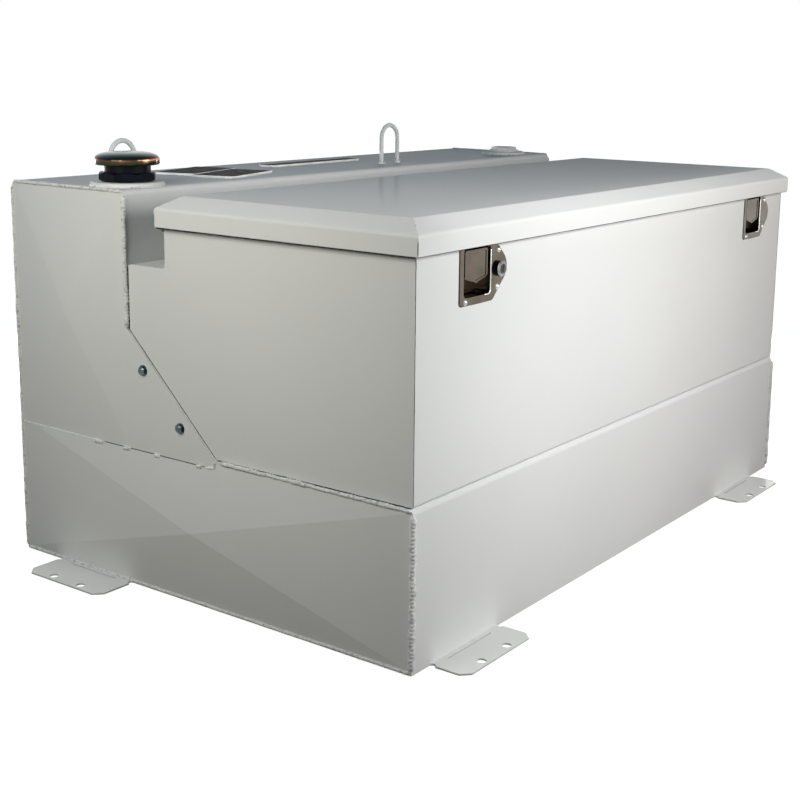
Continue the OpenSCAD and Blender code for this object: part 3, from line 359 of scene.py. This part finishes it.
def add_bead(verts, faces, path, radius, seed, outward, pitch=5.5, step=1.3, sides=9, depth=0.34):
    """A rippled weld bead swept along a path of corner-frame points in mm."""
    outward = outward.normalized()
    points = walk(path, step)
    total = points[-1][1]
    base = len(verts)
    for i, (point, distance) in enumerate(points):
        ahead = points[min(i + 1, len(points) - 1)][0] - points[max(i - 1, 0)][0]
        along = ahead.normalized()
        across = along.cross(outward).normalized()
        out = across.cross(along).normalized()
        end = min(1.0, min(distance, total - distance) / radius + 0.15)
        width = radius * (1 + 0.22 * wobble(distance / 17, seed)) * math.sqrt(end)
        shift = across * radius * 0.25 * wobble(distance / 9, seed + 3)
        for k in range(sides):
            angle = 2 * math.pi * k / sides
            lead = distance + 0.55 * radius * math.cos(angle)
            ripple = abs(math.sin(math.pi * lead / pitch)) ** 0.7
            size = width * (1 - depth + depth * ripple + 0.10 * wobble(distance / 3, seed + 5 + k))
            x, y, z = point + shift + (out * math.cos(angle) + across * math.sin(angle)) * size
            verts.append(at(x, min(y, TANK_D - INSIDE), max(z, INSIDE)))
    for i in range(len(points) - 1):
        for k in range(sides):
            a = base + i * sides + k
            b = base + i * sides + (k + 1) % sides
            faces.append((a, b, b + sides, a + sides))
    for ring in (0, len(points) - 1):
        ends = [base + ring * sides + k for k in range(sides)]
        faces.append(tuple(ends if ring else reversed(ends)))


def ring_path(x, y, z, radius, count=48):
    steps = [2 * math.pi * i / count for i in range(count + 1)]
    return [Vector((x + radius * math.cos(a), y + radius * math.sin(a), z)) for a in steps]


def add_end_welds(name, x, side):
    """Beads along the edges of the end plates at x; side is -1 for the left end, 1 for the right."""
    verts, faces = [], []
    out = Vector((side, 0, 0))
    front, back, up = Vector((0, -1, 0)), Vector((0, 1, 0)), Vector((0, 0, 1))
    v = Vector
    lines = [
        ([v((x, 0.4, 7)), v((x, 0.4, SLAB_H - BEND_R))], 4.9, out + front),
        ([v((x, 3, SLAB_H - 2)), v((x, FLAP_Y - 12, SLAB_H - 0.5))], 3.4, out + up),
        ([v((x, RISER_Y + 0.5, FLAP_TOP_Z + 2)), v((x, RISER_Y + 0.5, TANK_H - BEND_R))], 4.0, out + front),
        ([v((x, RISER_Y + 4, TANK_H - 1.5)), v((x, TANK_D - 4, TANK_H - 1.5))], 3.0, out + up),
        ([v((x, TANK_D, 6)), v((x, TANK_D, TANK_H - BEND_R))], 3.6, out + back),
        ([v((x, 4, 3.4)), v((x, TANK_D - 4, 3.4))], 3.0, out),
        ([v((x, FLAP_Y, SLAB_H - 1)), v((x, FLAP_Y, SEAM_Z + 2)), v((x, FLAP_Y + 16, SEAM_Z))], 3.0, out),
    ]
    for i, (path, radius, outward) in enumerate(lines):
        add_bead(verts, faces, path, radius, i + 10 * side, outward)
    ground = [v((x - side * 1.0, FLAP_Y + 262, SEAM_Z)), v((x - side * 1.0, TANK_D - 3, SEAM_Z))]
    add_bead(verts, faces, ground, 2.2, 31, out, pitch=9, depth=0.10)
    for y, length, radius in ((612, 24, 4.4), (548, 18, 4.8), (481, 14, 3.6), (392, 14, 3.8)):
        lump = [v((x, y - length / 2, SEAM_Z - 1)), v((x, y + length / 2, SEAM_Z - 1))]
        add_bead(verts, faces, lump, radius, y, out, pitch=7)
    return make_piece(name, verts, faces, [WELD_PAINT], "root")


def add_top_welds():
    """Fillet beads round the filler flange, the pump bung and the feet of the lifting eyes."""
    verts, faces = [], []
    up = Vector((0, 0, 1))
    for seed, ((x, y), radius) in enumerate(((FILLER_AT, FILLER_R + 0.6), (BUNG_AT, BUNG_R + 0.6))):
        add_bead(verts, faces, ring_path(x, y, TANK_H + 0.4, radius), 1.6, seed, up, step=1.4, sides=8)
    for seed, (x, y) in enumerate(EYE_FEET):
        path = ring_path(x, y, TANK_H + 1.2, 5.8, 20)
        add_bead(verts, faces, path, 2.2, seed + 5, up, pitch=4, step=1.0, sides=8)
    return make_piece("top_welds", verts, faces, [WELD_PAINT], "root")


def add_lid_welds():
    """Short beads up the mitred corners of the lid's bevel."""
    verts, faces = [], []
    for i, x in enumerate(LID_X):
        for j, y in enumerate(LID_Y):
            sx, sy = 1 - 2 * i, 1 - 2 * j
            low = Vector((x + sx * 1.5, y + sy * 1.5, LID_KNEE_Z - 8))
            knee = Vector((x + sx * 3.2, y + sy * 3.2, LID_KNEE_Z + 0.2))
            high = Vector((x + sx * 30, y + sy * 30, LID_TOP_Z - 1.6))
            outward = Vector((-sx, -sy, 1.6))
            add_bead(verts, faces, [low, knee, high], 1.9, i * 2 + j, outward, pitch=4.2, step=1.0, sides=8)
    return make_piece("lid_welds", verts, faces, [WELD_PAINT], "lid")


def add_painted_gap_shade(name, x, side):
    """Black strips of painted shade where sheets of one end meet without a weld: seam, flap, riser, box
    corner and foot.
    """
    verts, faces = [], []
    v = Vector
    out, front, up = v((side, 0, 0)), v((0, -1, 0)), v((0, 0, 1))
    wall = x - side * 2.7
    lines = [
        ([v((x, FLAP_Y + 20, SEAM_Z + 0.6)), v((x, FLAP_Y + 240, SEAM_Z + 0.6))], 0.7, out),
        ([v((wall, FLAP_Y - 1, SLAB_H + 1)), v((wall, RISER_Y - 2, FLAP_TOP_Z))], 0.55, out),
        ([v((wall, RISER_Y - 2.2, FLAP_TOP_Z)), v((wall, RISER_Y - 2.2, LEDGE_Z - 3))], 1.3, out),
        ([v((wall, BOX_Y + 1, SLAB_H + 1.2)), v((wall, FLAP_Y - 2, SLAB_H + 1.2))], 0.8, out),
        ([v((wall, BOX_Y, SLAB_H + 3)), v((wall, BOX_Y, LID_LOW_Z - 4))], 0.5, out + front),
    ]
    for i, (path, radius, outward) in enumerate(lines):
        add_bead(verts, faces, path, radius, i + 40, outward, pitch=50, step=2.5, sides=6, depth=0.04)
    # The black rubber colour here is painted shade in the gaps; these strips are not parts.
    make_piece(name, verts, faces, [MATERIALS["black_rubber"]], "root")


add_painted_gap_shade("painted_gap_shade_left", 0, -1)
add_painted_gap_shade("painted_gap_shade_right", TANK_W, 1)
add_end_welds("welds_left", 0, -1)
add_end_welds("welds_right", TANK_W, 1)
add_top_welds()
add_lid_welds()


def add_top_plates():
    """Three thin bare plates on the tank's top, with pale edges."""
    for name, x, y, w, d, turn in (
            ("top_plate_front", 264, 569, 149, 80, 17), ("top_plate_rear", 259, 654, 147, 78, 17),
            ("top_plate_long", 488, 690, 262, 32, 1)):
        bm = bmesh.new()
        bmesh.ops.create_cube(bm, size=1)
        for vert in bm.verts:
            vert.co = Vector(((vert.co.x + 0.5) * w, (vert.co.y + 0.5) * d, (vert.co.z + 0.5) * PLATE_T))
        upright = [e for e in bm.edges if abs(e.verts[0].co.z - e.verts[1].co.z) > 1]
        bmesh.ops.bevel(bm, geom=upright, offset=3, segments=4, profile=0.5, affect="EDGES")
        rim = [e for e in bm.edges if min(v.co.z for v in e.verts) > PLATE_T - 0.1]
        bmesh.ops.bevel(bm, geom=rim, offset=0.35, segments=2, profile=0.5, affect="EDGES")
        bm.normal_update()
        for face in bm.faces:
            flat_top = face.normal.z > 0.99 and face.calc_area() > 500
            face.material_index = 0 if flat_top else 1
            face.smooth = face.calc_area() < 20
        spin = Matrix.Rotation(math.radians(turn), 3, "Z")
        for vert in bm.verts:
            vert.co = at(*(spin @ vert.co + Vector((x, y, TANK_H))))
        mesh = bpy.data.meshes.new(name)
        bm.to_mesh(mesh)
        bm.free()
        mesh.materials.append(PLATE_DARK)
        mesh.materials.append(PLATE_EDGE)
        piece = bpy.data.objects.new(name, mesh)
        scene.collection.objects.link(piece)
        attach(piece, "root")


add_top_plates()


def latch_outline():
    """The latch plate's outline as (x, z) from the recess centre."""
    points = []

    def arc(cx, cz, r, start, end, count):
        for i in range(count + 1):
            a = math.radians(start + (end - start) * i / count)
            points.append((cx + r * math.cos(a), cz + r * math.sin(a)))

    arc(36, 39, 5, 45, 90, 4)
    arc(-36, 39, 5, 90, 180, 6)
    arc(-36, -39, 5, 180, 270, 6)
    arc(36, -39, 5, 270, 315, 4)
    arc(51, 0, 22, -42, 42, 14)
    points.append(points[0])
    return points


def add_latch_edge_beads():
    """A thin black bead round the edge of each latch plate."""
    for name, x in zip(("latch_edge_bead_left", "latch_edge_bead_right"), LATCH_XS):
        verts, faces = [], []
        path = [Vector((x + px, BOX_Y - 0.3, LATCH_Z + pz)) for px, pz in latch_outline()]
        add_bead(verts, faces, path, 0.9, 2, Vector((0, -1, 0)), pitch=40, step=2.0, sides=8, depth=0.05)
        make_piece(name, verts, faces, [MATERIALS["black_rubber"]], "root")


add_latch_edge_beads()


def add_recess_highlights():
    """A painted highlight: a bright steel bead down the right side of each latch's recess and round its lower
    corner.
    """
    for name, x in zip(("recess_highlight_left", "recess_highlight_right"), LATCH_XS):
        verts, faces = [], []
        half_w, half_h = RECESS_W / 2, RECESS_H / 2
        turn = [math.radians(-9 * i) for i in range(11)]
        corner = [(half_w - RECESS_R + RECESS_R * math.cos(a), RECESS_R - half_h + RECESS_R * math.sin(a)) for a in turn]
        outline = [(half_w, half_h - RECESS_R)] + corner + [(half_w - 14, -half_h)]
        path = [Vector((x + px + 0.4, BOX_Y - 1.5, LATCH_Z + pz - 0.3)) for px, pz in outline]
        add_bead(verts, faces, path, 0.85, 4, Vector((0, -1, 0)), pitch=60, step=1.6, sides=8, depth=0.04)
        make_piece(name, verts, faces, [RECESS_HIGHLIGHT_STEEL], "root")


add_recess_highlights()


def add_lid_dark_strip():
    """A thin black strip along the bottom edge of the lid's flange, thicker on the sides than in front."""
    verts, faces = [], []

    def strip(x0, x1, y0, y1, z0, z1):
        base = len(verts)
        for z in (z0, z1):
            verts.extend(at(x, y, z) for x, y in ((x0, y0), (x1, y0), (x1, y1), (x0, y1)))
        for corners in ((3, 2, 1, 0), (4, 5, 6, 7), (0, 1, 5, 4), (1, 2, 6, 5), (2, 3, 7, 6), (3, 0, 4, 7)):
            faces.append(tuple(base + c for c in corners))

    low = LID_LOW_Z + 0.05
    for edge, inner in ((LID_X[0] + 0.15, LID_X[0] + 1.7), (LID_X[1] - 1.7, LID_X[1] - 0.15)):
        strip(edge, inner, LID_Y[0] + 6, LID_Y[1] - 4, low - 2.4, low)
    strip(LID_X[0] + 6, LID_X[1] - 6, LID_Y[0] + 0.15, LID_Y[0] + 1.7, low - 0.9, low)
    make_piece("lid_dark_strip", verts, faces, [MATERIALS["black_rubber"]], "lid", smooth=False)


add_lid_dark_strip()


def add_floor():
    """White to the camera and to gloss, warm grey to the light that bounces, with the object's shadow."""
    bpy.ops.mesh.primitive_plane_add(size=80, location=(0, 0, -0.0005))
    floor = bpy.context.object
    floor.name = "floor"
    n = Nodes("floor_white")
    light = n.add("ShaderNodeLightPath")
    seen = n.math("ADD", light.outputs["Is Camera Ray"], light.outputs["Is Glossy Ray"])
    seen = n.math("ADD", seen, light.outputs["Is Transmission Ray"], True)
    matt = n.add("ShaderNodeBsdfDiffuse")
    n.link(n.mix(seen, FLOOR_BOUNCE, grey(0.8)), matt.inputs["Color"])
    place = n.add("ShaderNodeTexCoord")
    away = n.add("ShaderNodeVectorMath", operation="LENGTH")
    n.link(place.outputs["Object"], away.inputs[0])
    fade = n.add("ShaderNodeMapRange", interpolation_type="SMOOTHSTEP")
    n.link(away.outputs["Value"], fade.inputs["Value"])
    for socket, value in (("From Min", 1.1), ("From Max", 2.6), ("To Min", GLOW_NEAR), ("To Max", GLOW_FAR)):
        fade.inputs[socket].default_value = value
    glow = n.add("ShaderNodeEmission")
    n.link(n.math("MULTIPLY", seen, fade.outputs["Result"]), glow.inputs["Strength"])
    both = n.add("ShaderNodeAddShader")
    n.link(matt.outputs["BSDF"], both.inputs[0])
    n.link(glow.outputs["Emission"], both.inputs[1])
    n.link(both.outputs["Shader"], n.output.inputs["Surface"])
    floor.data.materials.append(n.material)


def add_world():
    """White to the camera and to gloss; a soft studio that is dimmer and bluer overhead lights the object."""
    world = bpy.data.worlds.new("studio")
    world.use_nodes = True
    tree = world.node_tree
    tree.nodes.clear()

    def add(kind):
        return tree.nodes.new(kind)

    place = add("ShaderNodeTexCoord")
    split = add("ShaderNodeSeparateXYZ")
    tree.links.new(place.outputs["Generated"], split.inputs["Vector"])
    high = add("ShaderNodeValToRGB")
    high.color_ramp.elements[0].position = 0.05
    high.color_ramp.elements[0].color = (*SIDE_LIGHT, 1)
    high.color_ramp.elements[1].position = 0.75
    high.color_ramp.elements[1].color = (*TOP_LIGHT, 1)
    tree.links.new(split.outputs["Z"], high.inputs["Fac"])
    studio = add("ShaderNodeBackground")
    tree.links.new(high.outputs["Color"], studio.inputs["Color"])
    white = add("ShaderNodeBackground")
    white.inputs["Color"].default_value = (1, 1, 1, 1)
    light = add("ShaderNodeLightPath")
    first, second = add("ShaderNodeMath"), add("ShaderNodeMath")
    first.operation = second.operation = "ADD"
    second.use_clamp = True
    tree.links.new(light.outputs["Is Camera Ray"], first.inputs[0])
    tree.links.new(light.outputs["Is Glossy Ray"], first.inputs[1])
    tree.links.new(first.outputs[0], second.inputs[0])
    tree.links.new(light.outputs["Is Transmission Ray"], second.inputs[1])
    mix = add("ShaderNodeMixShader")
    output = add("ShaderNodeOutputWorld")
    tree.links.new(second.outputs[0], mix.inputs["Fac"])
    tree.links.new(studio.outputs["Background"], mix.inputs[1])
    tree.links.new(white.outputs["Background"], mix.inputs[2])
    tree.links.new(mix.outputs["Shader"], output.inputs["Surface"])
    scene.world = world


def add_lamp(name, place, target, size, energy, color=(1, 1, 1), spread=180):
    """A softbox, not seen by the camera; spread is the angle of its grid."""
    data = bpy.data.lights.new(name, "AREA")
    data.shape = "RECTANGLE"
    data.size, data.size_y = size
    data.energy = energy
    data.color = color
    data.spread = math.radians(spread)
    lamp = bpy.data.objects.new(name, data)
    lamp.location = place
    lamp.rotation_euler = (Vector(target) - Vector(place)).to_track_quat("-Z", "Y").to_euler()
    lamp.visible_camera = False
    scene.collection.objects.link(lamp)


FLOOR_BOUNCE = (0.050, 0.030, 0.018)
GLOW_NEAR, GLOW_FAR = 0.74, 0.98
SIDE_LIGHT = (0.095, 0.118, 0.132)
TOP_LIGHT = (0.035, 0.055, 0.075)

add_floor()
add_world()
add_lamp("left", (-1.4, 0.03, 0.90), (-0.6, 0.0, 0.4), (0.6, 0.6), 6.1, (1.0, 0.98, 0.89))
add_lamp("front", (0.3, -1.3, 0.7), (0.3, -0.37, 0.4), (0.8, 0.8), 7.0, (1.0, 0.96, 0.93))
add_lamp("front_left", (-0.35, -1.45, 0.92), (-0.33, -0.37, 0.42), (0.6, 0.6), 2.45, (0.98, 1.0, 1.0), 80)
add_lamp("rear_top", (-1.0, 0.9, 1.4), (-0.2, 0.1, 0.6), (0.8, 0.8), 1.1, (0.30, 0.60, 1.0))
add_lamp("edge", (0.1, -0.92, 0.97), (0.1, -0.362, 0.600), (1.3, 0.05), 0.036, (1.0, 1.0, 1.0), 9)
add_lamp("back", (0.1, 2.0, 0.42), (0.1, 0.4, 0.35), (1.2, 0.45), 17)
add_lamp("right", (2.0, 0.0, 0.42), (0.6, 0.0, 0.35), (0.9, 0.45), 10)
scene.view_settings.view_transform = "Standard"
